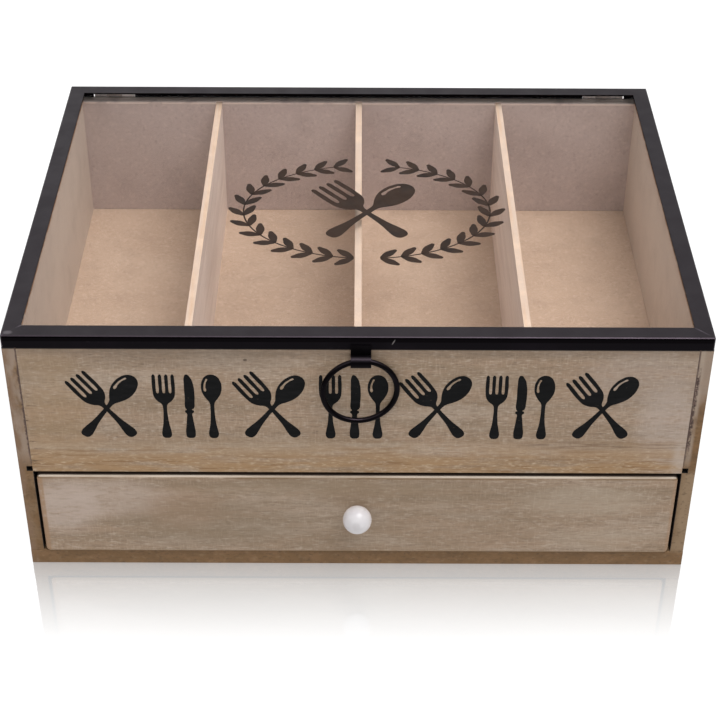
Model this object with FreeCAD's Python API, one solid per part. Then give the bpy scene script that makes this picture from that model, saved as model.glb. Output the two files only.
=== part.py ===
import FreeCAD, Part
import math
import os

# A wooden cutlery chest: an open carcass with long compartments, a drawer
# under them, and a hinged lid of glass in a black steel frame with a ring pull.
# Sizes are in millimetres. X runs to the right, Y to the back and Z up.
# The origin is the middle of the underside, which rests on the table.

# Carcass
body_width = 345.0
body_depth = 256.0
body_height = 141.8
side_thickness = 7.0
back_thickness = 7.0
front_thickness = 7.0
bottom_thickness = 9.5
edge_easing = 0.5

# Middle floor, let into saw-cut grooves that run out at the front edges
drawer_space = 54.5
floor_thickness = 2.8
groove_depth = 3.0
groove_play = 0.1
front_board_lip = 0.6

# Dividers, housed in the front board and the back panel
divider_names = ["left_divider", "centre_divider", "right_divider"]
divider_thickness = 3.6
divider_drop = 0.6
divider_housing = 2.0

# Panel pins, driven flush
pin_radius = 0.7
pin_head_radius = 1.2
pin_head_thickness = 0.5
side_pin_length = 20.0
bottom_pin_length = 24.0
side_pin_count = 3
bottom_pin_count = 4
pin_end_distance = 12.0

# Drawer
drawer_side_play = 1.5
drawer_running_gap = 0.3
drawer_front_thickness = 9.0
drawer_front_proud = 1.5
drawer_front_top_gap = 1.4
drawer_front_round = 1.6
drawer_corner_round = 2.4
drawer_wall = 6.0
drawer_wall_height = 46.0
drawer_bottom_thickness = 3.0
drawer_bottom_rise = 4.0
drawer_groove_depth = 2.5
drawer_pin_count = 2

# Knob, a ball held by a screw from inside the drawer
knob_radius = 7.4
knob_seat_depth = 0.5
knob_height = 38.8
knob_screw_radius = 2.0
knob_screw_engagement = 8.0
knob_screw_hole_play = 0.2
knob_screw_head_radius = 3.8
knob_screw_head_height = 2.2
knob_screw_slot_width = 1.0
knob_screw_slot_depth = 1.1

# Lid frame, four mitred rails of angle section
lid_seat_gap = 0.2
lid_front_overhang = 0.3
rail_width = 9.0
rail_height = 7.0
rail_sheet = 0.8
rail_bend_radius = 1.0
lid_corner_radius = 1.4

# Glass and the clips that hold it up against the rails
glass_thickness = 2.0
glass_play = 0.5
clip_width = 8.0
clip_sheet = 0.5
clip_reach = 6.0
clip_leg = 3.0
clip_end_distance = 60.0

# Hinges
hinge_width = 24.0
hinge_inset = 25.5
hinge_sheet = 0.8
knuckle_radius = 2.0
knuckle_wall_gap = 0.3
knuckle_end_gap = 0.3
lid_knuckle_length = 8.4
hinge_pin_radius = 0.9
hinge_pin_running_fit = 0.05
box_leaf_height = 13.0
lid_leaf_top_margin = 1.2
rail_notch_height = 2.2
rail_notch_play = 0.4
lid_open_angle = 105.0
heel_thickness = 1.2
heel_reach = 3.2
heel_stop_gap = 0.15
hinge_screw_radius = 1.0
hinge_screw_length = 5.5
hinge_screw_head_radius = 1.9
hinge_screw_head_height = 0.9
hinge_screw_spacing = 15.0
hinge_screw_drop = 8.5
hinge_screw_slot_width = 0.5
hinge_screw_slot_depth = 0.45

# Ring pull, hung in the curled end of a strap welded to the front rail
strap_width = 10.0
strap_sheet = 0.8
strap_lap = 2.6
strap_offset = 1.5
strap_drop = 5.2
curl_bore_radius = 2.4
curl_gap_start = 10.0
curl_gap_end = 48.0
ring_offset = 1.1
ring_mean_radius = 18.25
ring_wire_radius = 1.4
ring_rise = 0.2
ring_yaw = 5.5

# Levels and faces worked out from the sizes above
front_face = -body_depth / 2
back_face = body_depth / 2
right_face = body_width / 2
inner_right = right_face - side_thickness
inner_back = back_face - back_thickness
inner_front = front_face + front_thickness
bottom_top = bottom_thickness
floor_underside = bottom_top + drawer_space
floor_top = floor_underside + floor_thickness
groove_top = floor_top + 2 * groove_play
front_board_bottom = floor_underside - front_board_lip
rim = body_height
lid_bottom = rim + lid_seat_gap
lid_top = lid_bottom + rail_height
lid_front = front_face - lid_front_overhang
drawer_right = inner_right - drawer_side_play
drawer_underside = bottom_top + drawer_running_gap
drawer_front_face = front_face - drawer_front_proud
drawer_front_back = drawer_front_face + drawer_front_thickness
drawer_back_face = inner_back - drawer_running_gap
hinge_x = right_face - hinge_inset
hinge_axis_y = back_face + knuckle_radius + knuckle_wall_gap
hinge_axis_z = lid_bottom
outer_knuckle_length = (hinge_width - lid_knuckle_length) / 2 - knuckle_end_gap
curl_outer_radius = curl_bore_radius + strap_sheet
curl_axis_y = lid_front - curl_outer_radius
curl_axis_z = lid_bottom - strap_drop

X_AXIS = FreeCAD.Vector(1, 0, 0)
Y_AXIS = FreeCAD.Vector(0, 1, 0)
Z_AXIS = FreeCAD.Vector(0, 0, 1)


def box(x_range, y_range, z_range):
    """A rectangular block between two limits on each axis."""
    size = [high - low for low, high in (x_range, y_range, z_range)]
    corner = FreeCAD.Vector(x_range[0], y_range[0], z_range[0])
    return Part.makeBox(size[0], size[1], size[2], corner)


def rod(radius, start, direction, length):
    """A plain cylinder from a point along a direction."""
    return Part.makeCylinder(radius, length, FreeCAD.Vector(*start), direction)


def runs_along(edge, axis):
    """True for a straight edge parallel to an axis."""
    if not isinstance(edge.Curve, Part.Line):
        return False
    return edge.tangentAt(edge.FirstParameter).cross(axis).Length < 1e-6


def ease(solid, axis, radius):
    """Round every edge of a block that runs along one axis."""
    edges = [edge for edge in solid.Edges if runs_along(edge, axis)]
    return solid.makeFillet(radius, edges)


def spread(count, low, high):
    """Evenly spaced places from low to high."""
    if count == 1:
        return [(low + high) / 2]
    return [low + (high - low) * step / (count - 1) for step in range(count)]


def export(shape, name):
    """Write one named piece, which must be made of valid solids."""
    if not shape.isValid() or not shape.Solids:
        raise ValueError(name + " is not a valid solid")
    shape.exportStep("parts/" + name + ".step")


def pin(start, direction, length):
    """A panel pin whose flat head is flush with the face that it enters."""
    head = rod(pin_head_radius, start, direction, pin_head_thickness)
    return rod(pin_radius, start, direction, length).fuse(head).removeSplitter()


def side_pins():
    """Pins through both side panels into the front board and the back panel."""
    front_heights = spread(side_pin_count, front_board_bottom + pin_end_distance,
                           rim - pin_end_distance)
    back_heights = spread(side_pin_count, bottom_top + pin_end_distance, rim - pin_end_distance)
    rows = [(front_face + front_thickness / 2, front_heights),
            (back_face - back_thickness / 2, back_heights)]
    pins = []
    for y, heights in rows:
        for z in heights:
            pins.append(pin((-right_face, y, z), X_AXIS, side_pin_length))
            pins.append(pin((right_face, y, z), -X_AXIS, side_pin_length))
    return pins


def bottom_pins():
    """Pins up through the bottom board into the side panels."""
    pins = []
    for y in spread(bottom_pin_count, front_face + pin_end_distance, back_face - pin_end_distance):
        for side in (-1, 1):
            x = side * (right_face - side_thickness / 2)
            pins.append(pin((x, y, 0), Z_AXIS, bottom_pin_length))
    return pins


def drawer_pins():
    """Pins through the drawer sides into the drawer back."""
    top = drawer_underside + drawer_wall_height
    pins = []
    for z in spread(drawer_pin_count, drawer_underside + pin_end_distance, top - pin_end_distance):
        y = drawer_back_face - drawer_wall / 2
        pins.append(pin((-drawer_right, y, z), X_AXIS, side_pin_length))
        pins.append(pin((drawer_right, y, z), -X_AXIS, side_pin_length))
    return pins


def divider_centres():
    """The middle of each divider, which share out the width evenly."""
    bay = (2 * inner_right - len(divider_names) * divider_thickness) / (len(divider_names) + 1)
    pitch = bay + divider_thickness
    first = -inner_right + bay + divider_thickness / 2
    return [first + pitch * index for index in range(len(divider_names))]


def make_bottom_board():
    board = box((-right_face, right_face), (front_face, back_face), (0, bottom_top))
    board = ease(board, X_AXIS, edge_easing)
    return board.cut(bottom_pins())


def make_side_panel(side):
    """A side panel with the groove that carries the middle floor, open at the front."""
    x_range = sorted((side * inner_right, side * right_face))
    panel = box(x_range, (front_face, back_face), (bottom_top, rim))
    panel = ease(panel, Z_AXIS, edge_easing)
    groove_x = sorted((side * inner_right, side * (inner_right + groove_depth)))
    groove_y = (front_face, inner_back + groove_depth)
    groove = box(groove_x, groove_y, (floor_underside, groove_top))
    return panel.cut([groove] + side_pins() + bottom_pins())


def make_back_panel():
    panel = box((-inner_right, inner_right), (inner_back, back_face), (bottom_top, rim))
    cuts = [box((-inner_right, inner_right), (inner_back, inner_back + groove_depth),
                (floor_underside, groove_top))]
    for x in divider_centres():
        cuts.append(divider_slot(x, inner_back, inner_back + divider_housing, floor_top))
    cuts += side_pins()
    for side in (-1, 1):
        cuts += hinge_screws(side)
    return panel.cut(cuts)


def divider_slot(x, y_low, y_high, z_low):
    """The housing that takes one end of a divider."""
    half = divider_thickness / 2
    return box((x - half, x + half), (y_low, y_high), (z_low, rim))


def make_front_board():
    board = box((-inner_right, inner_right), (front_face, inner_front), (front_board_bottom, rim))
    board = ease(board, X_AXIS, edge_easing)
    board = board.cut([divider_slot(x, inner_front - divider_housing, inner_front, floor_top)
                       for x in divider_centres()])
    return board.cut(side_pins())


def make_middle_floor():
    reach = inner_right + groove_depth - groove_play
    return box((-reach, reach), (inner_front, inner_back + groove_depth - groove_play),
               (floor_underside, floor_top))


def make_divider(x):
    half = divider_thickness / 2
    return box((x - half, x + half), (inner_front - divider_housing, inner_back + divider_housing),
               (floor_top, rim - divider_drop))


def make_drawer_front():
    """The drawer front, rounded on its face, grooved behind for the drawer bottom."""
    z_range = (drawer_underside, front_board_bottom - drawer_front_top_gap)
    board = box((-drawer_right, drawer_right), (drawer_front_face, drawer_front_back), z_range)
    board = ease(board, Y_AXIS, drawer_corner_round)
    face_edges = [edge for edge in board.Edges
                  if abs(edge.CenterOfMass.y - drawer_front_face) < 1e-6]
    board = board.makeFillet(drawer_front_round, face_edges)
    screw_hole = rod(knob_screw_radius + knob_screw_hole_play,
                     (0, drawer_front_face - 1, knob_height), Y_AXIS, drawer_front_thickness + 2)
    groove_reach = drawer_right - drawer_wall + drawer_groove_depth
    groove = box((-groove_reach, groove_reach),
                 (drawer_front_back - drawer_groove_depth, drawer_front_back), drawer_groove_levels())
    return board.cut([screw_hole, groove])


def drawer_groove_levels():
    low = drawer_underside + drawer_bottom_rise
    return (low, low + drawer_bottom_thickness + 2 * groove_play)


def make_drawer_side(side):
    x_range = sorted((side * (drawer_right - drawer_wall), side * drawer_right))
    wall = box(x_range, (drawer_front_back, drawer_back_face),
               (drawer_underside, drawer_underside + drawer_wall_height))
    wall = ease(wall, Y_AXIS, edge_easing)
    groove_x = sorted((side * (drawer_right - drawer_wall),
                       side * (drawer_right - drawer_wall + drawer_groove_depth)))
    groove_y = (drawer_front_back, drawer_back_face - drawer_wall + drawer_groove_depth)
    return wall.cut([box(groove_x, groove_y, drawer_groove_levels())] + drawer_pins())


def make_drawer_back():
    inner = drawer_right - drawer_wall
    wall = box((-inner, inner), (drawer_back_face - drawer_wall, drawer_back_face),
               (drawer_underside, drawer_underside + drawer_wall_height))
    groove_y = (drawer_back_face - drawer_wall,
                drawer_back_face - drawer_wall + drawer_groove_depth)
    return wall.cut([box((-inner, inner), groove_y, drawer_groove_levels())] + drawer_pins())


def make_drawer_bottom():
    reach = drawer_right - drawer_wall + drawer_groove_depth - groove_play
    low = drawer_groove_levels()[0]
    return box((-reach, reach),
               (drawer_front_back - drawer_groove_depth + groove_play,
                drawer_back_face - drawer_wall + drawer_groove_depth - groove_play),
               (low, low + drawer_bottom_thickness))


def make_knob():
    """A ball with a small flat seat and a blind hole for its screw."""
    centre_y = drawer_front_face - knob_radius + knob_seat_depth
    ball = Part.makeSphere(knob_radius, FreeCAD.Vector(0, centre_y, knob_height))
    wide = 2 * knob_radius
    behind = box((-wide, wide), (drawer_front_face, drawer_front_face + wide),
                 (knob_height - wide, knob_height + wide))
    hole = rod(knob_screw_radius, (0, drawer_front_face, knob_height), -Y_AXIS,
               knob_screw_engagement)
    return ball.cut([behind, hole])


def make_knob_screw():
    """A slotted pan-head screw from the drawer front's inner face into the knob."""
    tip = drawer_front_face - knob_screw_engagement
    shank = rod(knob_screw_radius, (0, tip, knob_height), Y_AXIS, drawer_front_back - tip)
    head = rod(knob_screw_head_radius, (0, drawer_front_back, knob_height), Y_AXIS,
               knob_screw_head_height)
    slot_bottom = drawer_front_back + knob_screw_head_height - knob_screw_slot_depth
    half = knob_screw_slot_width / 2
    slot = box((-knob_screw_head_radius, knob_screw_head_radius),
               (slot_bottom, slot_bottom + 2 * knob_screw_slot_depth),
               (knob_height - half, knob_height + half))
    return shank.fuse(head).cut(slot).removeSplitter()


def rail_section():
    """The angle section, with its bend rounded, in the plane X = 0.

    Its outer upright face is on Y = 0, its top flange reaches inwards along +Y.
    """
    outer = rail_bend_radius
    inner = max(outer - rail_sheet, 0.1)
    slant = math.sqrt(0.5)
    inside_corner = (rail_sheet + inner, rail_height - rail_sheet - inner)

    def point(y, z):
        return FreeCAD.Vector(0, y, z)

    edges = [
        Part.LineSegment(point(0, 0), point(0, rail_height - outer)),
        Part.Arc(point(0, rail_height - outer),
                 point(outer * (1 - slant), rail_height - outer * (1 - slant)),
                 point(outer, rail_height)),
        Part.LineSegment(point(outer, rail_height), point(rail_width, rail_height)),
        Part.LineSegment(point(rail_width, rail_height), point(rail_width, rail_height - rail_sheet)),
        Part.LineSegment(point(rail_width, rail_height - rail_sheet),
                         point(inside_corner[0], rail_height - rail_sheet)),
        Part.Arc(point(inside_corner[0], rail_height - rail_sheet),
                 point(inside_corner[0] - inner * slant, inside_corner[1] + inner * slant),
                 point(rail_sheet, inside_corner[1])),
        Part.LineSegment(point(rail_sheet, inside_corner[1]), point(rail_sheet, 0)),
        Part.LineSegment(point(rail_sheet, 0), point(0, 0)),
    ]
    return Part.Face(Part.Wire([edge.toShape() for edge in edges]))


def make_rail(length):
    """One rail along X with its outer face on Y = 0, mitred at both ends."""
    rail = rail_section().extrude(FreeCAD.Vector(length, 0, 0))
    rail.translate(FreeCAD.Vector(-length / 2, 0, 0))
    half = length / 2
    reach = rail_width + 1
    corners = [(-half, 0), (half, 0), (half - reach, reach), (-half + reach, reach)]
    outline = Part.makePolygon([FreeCAD.Vector(x, y, -1) for x, y in corners + corners[:1]])
    mitre = Part.Face(outline).extrude(FreeCAD.Vector(0, 0, rail_height + 2))
    return rail.common(mitre)


def lid_outline():
    """The lid's outline in plan, with its small corner radius, as a tall block."""
    block = box((-right_face, right_face), (lid_front, back_face),
                (lid_bottom - 1, lid_top + 1))
    return ease(block, Z_AXIS, lid_corner_radius)


def make_lid_rails():
    """The four rails of the lid frame, by name."""
    depth = back_face - lid_front
    middle = (back_face + lid_front) / 2
    places = {
        "lid_front_rail": (body_width, 0, FreeCAD.Vector(0, lid_front, lid_bottom)),
        "lid_back_rail": (body_width, 180, FreeCAD.Vector(0, back_face, lid_bottom)),
        "lid_left_rail": (depth, -90, FreeCAD.Vector(-right_face, middle, lid_bottom)),
        "lid_right_rail": (depth, 90, FreeCAD.Vector(right_face, middle, lid_bottom)),
    }
    outline = lid_outline()
    rails = {}
    for name, (length, turn, place) in places.items():
        rail = make_rail(length)
        rail.rotate(FreeCAD.Vector(0, 0, 0), Z_AXIS, turn)
        rail.translate(place)
        rails[name] = rail.common(outline)
    half = hinge_width / 2 + rail_notch_play
    for side in (-1, 1):
        x = side * hinge_x
        notch = box((x - half, x + half), (back_face - 2 * rail_sheet, back_face + 1),
                    (lid_bottom - 1, lid_bottom + rail_notch_height))
        rails["lid_back_rail"] = rails["lid_back_rail"].cut(notch)
    return rails


def make_glass():
    play = rail_sheet + glass_play
    top = lid_top - rail_sheet
    return box((-right_face + play, right_face - play), (lid_front + play, back_face - play),
               (top - glass_thickness, top))


def make_clip():
    """A bent tab: one leg on a rail's inner upright face, one under the glass."""
    shelf = lid_top - rail_sheet - glass_thickness
    half = clip_width / 2
    leg = box((-half, half), (rail_sheet, rail_sheet + clip_sheet), (shelf - clip_leg, shelf))
    lip = box((-half, half), (rail_sheet, rail_sheet + clip_reach), (shelf - clip_sheet, shelf))
    return leg.fuse(lip).removeSplitter()


def make_glass_clips():
    """Two clips on each rail."""
    depth = back_face - lid_front
    middle = (back_face + lid_front) / 2
    sides = [
        (body_width, 0, FreeCAD.Vector(0, lid_front, 0)),
        (body_width, 180, FreeCAD.Vector(0, back_face, 0)),
        (depth, -90, FreeCAD.Vector(-right_face, middle, 0)),
        (depth, 90, FreeCAD.Vector(right_face, middle, 0)),
    ]
    clips = []
    for length, turn, place in sides:
        for along in (-length / 2 + clip_end_distance, length / 2 - clip_end_distance):
            clip = make_clip()
            clip.translate(FreeCAD.Vector(along, 0, 0))
            clip.rotate(FreeCAD.Vector(0, 0, 0), Z_AXIS, turn)
            clip.translate(place)
            clips.append(clip)
    return Part.makeCompound(clips)


def hinge_screws(side):
    """The two screws of one hinge, through its box leaf into the back panel."""
    screws = []
    for offset in (-hinge_screw_spacing / 2, hinge_screw_spacing / 2):
        x = side * hinge_x + offset
        z = hinge_axis_z - hinge_screw_drop
        seat = back_face + hinge_sheet
        shank = rod(hinge_screw_radius, (x, seat, z), -Y_AXIS, hinge_screw_length)
        head = rod(hinge_screw_head_radius, (x, seat, z), Y_AXIS, hinge_screw_head_height)
        half = hinge_screw_slot_width / 2
        slot_bottom = seat + hinge_screw_head_height - hinge_screw_slot_depth
        slot = box((x - hinge_screw_head_radius, x + hinge_screw_head_radius),
                   (slot_bottom, slot_bottom + 2 * hinge_screw_slot_depth), (z - half, z + half))
        screws.append(shank.fuse(head).cut(slot).removeSplitter())
    return screws


def make_box_leaf(side):
    """The lower leaf: a plate on the back panel with a knuckle at each end."""
    x = side * hinge_x
    half = hinge_width / 2
    plate = box((x - half, x + half), (back_face, back_face + hinge_sheet),
                (hinge_axis_z - box_leaf_height, hinge_axis_z))
    knuckles = []
    for start in (x - half, x + half - outer_knuckle_length):
        knuckles.append(rod(knuckle_radius, (start, hinge_axis_y, hinge_axis_z), X_AXIS,
                            outer_knuckle_length))
    clearance = knuckle_radius + knuckle_wall_gap
    middle_half = lid_knuckle_length / 2 + knuckle_end_gap
    opening = box((x - middle_half, x + middle_half), (back_face - 1, back_face + hinge_sheet + 1),
                  (hinge_axis_z - clearance, hinge_axis_z + 1))
    bore = rod(hinge_pin_radius, (x - half - 1, hinge_axis_y, hinge_axis_z), X_AXIS,
               hinge_width + 2)
    leaf = plate.cut(opening).fuse(knuckles).cut([bore] + hinge_screws(side))
    return leaf.removeSplitter()


def make_lid_leaf(side):
    """The upper leaf: a plate on the back rail, one knuckle, and a stop heel.

    The heel is drawn where it meets the box leaf with the lid fully open, and is
    then turned back to the closed lid.
    """
    x = side * hinge_x
    half = hinge_width / 2
    knuckle_half = lid_knuckle_length / 2
    plate_low = hinge_axis_z + knuckle_radius + knuckle_wall_gap
    plate = box((x - half, x + half), (back_face, back_face + hinge_sheet),
                (plate_low, lid_top - lid_leaf_top_margin))
    web = box((x - knuckle_half, x + knuckle_half), (back_face, back_face + hinge_sheet),
              (hinge_axis_z, plate_low))
    knuckle = rod(knuckle_radius, (x - knuckle_half, hinge_axis_y, hinge_axis_z), X_AXIS,
                  lid_knuckle_length)
    stop_face = back_face + hinge_sheet + heel_stop_gap
    heel = box((x - knuckle_half, x + knuckle_half), (stop_face, stop_face + heel_thickness),
               (hinge_axis_z - heel_reach, hinge_axis_z))
    heel.rotate(FreeCAD.Vector(x, hinge_axis_y, hinge_axis_z), X_AXIS, lid_open_angle)
    bore = rod(hinge_pin_radius + hinge_pin_running_fit,
               (x - half - 1, hinge_axis_y, hinge_axis_z), X_AXIS, hinge_width + 2)
    return plate.fuse([web, knuckle, heel]).cut(bore).removeSplitter()


def make_hinge_pin(side):
    x = side * hinge_x
    return rod(hinge_pin_radius, (x - hinge_width / 2, hinge_axis_y, hinge_axis_z), X_AXIS,
               hinge_width)


def make_ring_strap():
    """A strip down the rail's face whose end is curled forwards round the ring."""
    left = strap_offset - strap_width / 2
    strip = box((left, left + strap_width), (lid_front - strap_sheet, lid_front),
                (curl_axis_z, lid_bottom + strap_lap))
    start = (left, curl_axis_y, curl_axis_z)
    curl = rod(curl_outer_radius, start, X_AXIS, strap_width)
    reach = 2 * curl_outer_radius
    corners = [(0, 0)]
    for angle in (curl_gap_start, curl_gap_end):
        turn = math.radians(angle)
        corners.append((reach * math.cos(turn), reach * math.sin(turn)))
    corners.append((0, 0))
    outline = Part.makePolygon([FreeCAD.Vector(left, curl_axis_y + y, curl_axis_z + z)
                                for y, z in corners])
    gap = Part.Face(outline).extrude(FreeCAD.Vector(strap_width, 0, 0))
    bore = rod(curl_bore_radius, start, X_AXIS, strap_width)
    return curl.cut([gap, bore]).fuse(strip.cut(bore)).removeSplitter()


def make_pull_ring():
    """A closed wire ring, hanging from the curl and turned a little askew."""
    centre = FreeCAD.Vector(ring_offset, curl_axis_y, curl_axis_z + ring_rise - ring_mean_radius)
    ring = Part.makeTorus(ring_mean_radius, ring_wire_radius, centre, Y_AXIS)
    ring.rotate(centre, Z_AXIS, ring_yaw)
    return ring


os.makedirs("parts", exist_ok=True)

export(make_bottom_board(), "bottom_board")
export(make_back_panel(), "back_panel")
export(make_front_board(), "front_board")
export(make_middle_floor(), "middle_floor")
for name, x in zip(divider_names, divider_centres()):
    export(make_divider(x), name)
export(Part.makeCompound(side_pins()), "side_panel_pins")
export(Part.makeCompound(bottom_pins()), "bottom_board_pins")

export(make_drawer_front(), "drawer_front")
export(make_drawer_back(), "drawer_back")
export(make_drawer_bottom(), "drawer_bottom")
export(Part.makeCompound(drawer_pins()), "drawer_pins")
export(make_knob(), "drawer_knob")
export(make_knob_screw(), "knob_screw")

for name, rail in make_lid_rails().items():
    export(rail, name)
export(make_glass(), "lid_glass")
export(make_glass_clips(), "glass_clips")
export(make_ring_strap(), "ring_strap")
export(make_pull_ring(), "pull_ring")

for side, word in ((-1, "left"), (1, "right")):
    export(make_side_panel(side), word + "_side_panel")
    export(make_drawer_side(side), "drawer_" + word + "_side")
    export(make_box_leaf(side), word + "_hinge_box_leaf")
    export(make_lid_leaf(side), word + "_hinge_lid_leaf")
    export(make_hinge_pin(side), word + "_hinge_pin")
export(Part.makeCompound(hinge_screws(-1) + hinge_screws(1)), "hinge_screws")

print("hinge axis y, z:", round(hinge_axis_y, 3), round(hinge_axis_z, 3))
print("ring axis y, z:", round(curl_axis_y, 3), round(curl_axis_z, 3))
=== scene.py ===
import math

import bmesh
import bpy
from mathutils import Matrix, Vector


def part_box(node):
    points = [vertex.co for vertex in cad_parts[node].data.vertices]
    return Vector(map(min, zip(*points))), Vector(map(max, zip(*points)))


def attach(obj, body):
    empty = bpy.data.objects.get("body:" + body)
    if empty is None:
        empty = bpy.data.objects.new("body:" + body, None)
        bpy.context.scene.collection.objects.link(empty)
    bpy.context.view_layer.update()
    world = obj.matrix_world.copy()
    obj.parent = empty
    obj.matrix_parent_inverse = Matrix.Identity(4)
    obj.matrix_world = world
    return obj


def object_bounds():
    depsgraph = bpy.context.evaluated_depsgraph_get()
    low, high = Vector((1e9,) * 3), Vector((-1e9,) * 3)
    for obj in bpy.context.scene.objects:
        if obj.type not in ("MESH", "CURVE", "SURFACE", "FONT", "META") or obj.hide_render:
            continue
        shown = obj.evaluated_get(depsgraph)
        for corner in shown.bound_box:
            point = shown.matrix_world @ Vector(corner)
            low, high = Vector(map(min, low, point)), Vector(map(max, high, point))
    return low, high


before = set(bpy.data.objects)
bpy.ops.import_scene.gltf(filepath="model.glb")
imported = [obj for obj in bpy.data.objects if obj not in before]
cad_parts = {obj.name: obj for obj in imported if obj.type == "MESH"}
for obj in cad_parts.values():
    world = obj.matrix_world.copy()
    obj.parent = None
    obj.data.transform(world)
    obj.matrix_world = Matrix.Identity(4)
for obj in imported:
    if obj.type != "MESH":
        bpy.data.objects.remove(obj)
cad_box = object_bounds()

# Camera. It stands about 80 cm in front of the chest and looks down on it by some 37 degrees,
# with a short telephoto lens. Its turn and roll are both under half a degree.
CAMERA_PLACE = Vector((0.0, -0.7996, 0.6347))
CAMERA_PITCH = math.radians(36.64)
CAMERA_YAW = math.radians(-0.09)
CAMERA_ROLL = math.radians(0.27)
FOCAL_PIXELS = 1723.5
IMAGE_PIXELS = 720
SENSOR_MM = 36.0
NEAREST_SEEN = 0.01

ahead = Vector((-math.sin(CAMERA_YAW) * math.cos(CAMERA_PITCH),
                math.cos(CAMERA_YAW) * math.cos(CAMERA_PITCH),
                -math.sin(CAMERA_PITCH)))
sideways = Vector((math.cos(CAMERA_YAW), math.sin(CAMERA_YAW), 0.0))
right = math.cos(CAMERA_ROLL) * sideways + math.sin(CAMERA_ROLL) * sideways.cross(ahead)
camera = bpy.data.objects.new("camera", bpy.data.cameras.new("camera"))
camera.data.sensor_fit = "HORIZONTAL"
camera.data.sensor_width = SENSOR_MM
camera.data.lens = FOCAL_PIXELS / IMAGE_PIXELS * SENSOR_MM
camera.data.clip_start = NEAREST_SEEN
camera_turn = Matrix((right, right.cross(ahead), -ahead)).transposed()
camera.matrix_world = Matrix.Translation(CAMERA_PLACE) @ camera_turn.to_4x4()
bpy.context.scene.collection.objects.link(camera)
bpy.context.scene.camera = camera

# Light. A white studio that is brightest behind and above the chest, where its backdrop is burnt
# out, and dim towards the camera. The white table under the chest throws light up at its front.
# A soft box hangs over the right, and a small one stands at the left.
BRIGHTEST_WAY = (0.08, 0.12, 0.99)
SURROUND_DIM = 0.27
SURROUND_BRIGHT = 0.70
BACKDROP_WAY = (-0.14, 0.70, 0.70)
BACKDROP_EXTRA = 0.66
TABLE_EXTRA = 0.50
# Each of these brightnesses rises between two cosines of the angle from its own way; the way of
# the table is straight up.
SURROUND_RISE = (-0.25, 0.75)
BACKDROP_RISE = (0.87, 0.96)
TABLE_RISE = (-0.05, -0.40)
# Name, place in metres, width and depth in metres, power in watts.
SOFT_BOXES = [
    ("overhead soft box", (0.62, -0.45, 2.0), (1.6, 1.2), 31.0),
    ("left soft box", (-1.1, -1.7, 0.9), (0.7, 0.5), 3.0),
]


def add_node(tree, kind, inputs=None, **settings):
    """One node with its settings; an input is given a value, or linked if it is given a socket."""
    node = tree.nodes.new(kind)
    for setting, value in settings.items():
        setattr(node, setting, value)
    for socket, value in (inputs or {}).items():
        if isinstance(value, bpy.types.NodeSocket):
            tree.links.new(value, node.inputs[socket])
        else:
            node.inputs[socket].default_value = value
    return node


world = bpy.data.worlds.new("white studio")
world.use_nodes = True
tree = world.node_tree
tree.nodes.clear()
way = add_node(tree, "ShaderNodeTexCoord").outputs["Generated"]
facing = add_node(tree, "ShaderNodeVectorMath", {0: way, 1: BRIGHTEST_WAY},
                  operation="DOT_PRODUCT")
brightness = add_node(tree, "ShaderNodeMapRange", {
    0: facing.outputs["Value"], 1: SURROUND_RISE[0], 2: SURROUND_RISE[1],
    3: SURROUND_DIM, 4: SURROUND_BRIGHT})
to_backdrop = add_node(tree, "ShaderNodeVectorMath", {0: way, 1: BACKDROP_WAY},
                       operation="DOT_PRODUCT")
upward = add_node(tree, "ShaderNodeSeparateXYZ", {0: way})
for cosine, (start, end), most in (
        (to_backdrop.outputs["Value"], BACKDROP_RISE, BACKDROP_EXTRA),
        (upward.outputs[2], TABLE_RISE, TABLE_EXTRA)):
    extra = add_node(tree, "ShaderNodeMapRange", {0: cosine, 1: start, 2: end, 3: 0.0, 4: most})
    brightness = add_node(tree, "ShaderNodeMath",
                          {0: brightness.outputs[0], 1: extra.outputs[0]}, operation="ADD")
background = add_node(tree, "ShaderNodeBackground", {"Color": (1.0, 1.0, 1.0, 1.0),
                                                     "Strength": brightness.outputs[0]})
add_node(tree, "ShaderNodeOutputWorld", {"Surface": background.outputs[0]})
bpy.context.scene.world = world
bpy.context.scene.view_settings.view_transform = "Standard"
for name, place, size, power in SOFT_BOXES:
    lamp = bpy.data.lights.new(name, "AREA")
    lamp.shape = "RECTANGLE"
    lamp.size, lamp.size_y = size
    lamp.energy = power
    soft_box = bpy.data.objects.new(name, lamp)
    soft_box.location = place
    soft_box.rotation_euler = (-Vector(place)).to_track_quat("-Z", "Y").to_euler()
    bpy.context.scene.collection.objects.link(soft_box)

# Floor. A sheet of plain white board, burnt out to pure white, which throws no light back on the
# chest. It mirrors the chest, and the mirror image fades out within a hand's breadth.
FLOOR_HALF_WIDTH = 20.0
FLOOR_DROP = 0.0002
FLOOR_GREY = "7c7c7c"
FLOOR_GLOW = 0.86
MIRROR_SHARE = 0.62
MIRROR_REACH = 0.064
MIRROR_ROUGHNESS = 0.04


def linear(code):
    """The linear colour of an sRGB hex code."""
    channels = [int(code[start:start + 2], 16) / 255 for start in (0, 2, 4)]
    return [c / 12.92 if c <= 0.04045 else ((c + 0.055) / 1.055) ** 2.4
            for c in channels] + [1.0]


def new_finish(name, **values):
    """A material with one Principled shader, and its object coordinates in metres."""
    material = bpy.data.materials.new(name)
    material.use_nodes = True
    tree = material.node_tree
    tree.nodes.clear()
    settings = {socket.replace("_", " "): value for socket, value in values.items()}
    shader = add_node(tree, "ShaderNodeBsdfPrincipled", settings)
    add_node(tree, "ShaderNodeOutputMaterial", {"Surface": shader.outputs[0]})
    coords = add_node(tree, "ShaderNodeTexCoord").outputs["Object"]
    return material, tree, shader, coords


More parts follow.
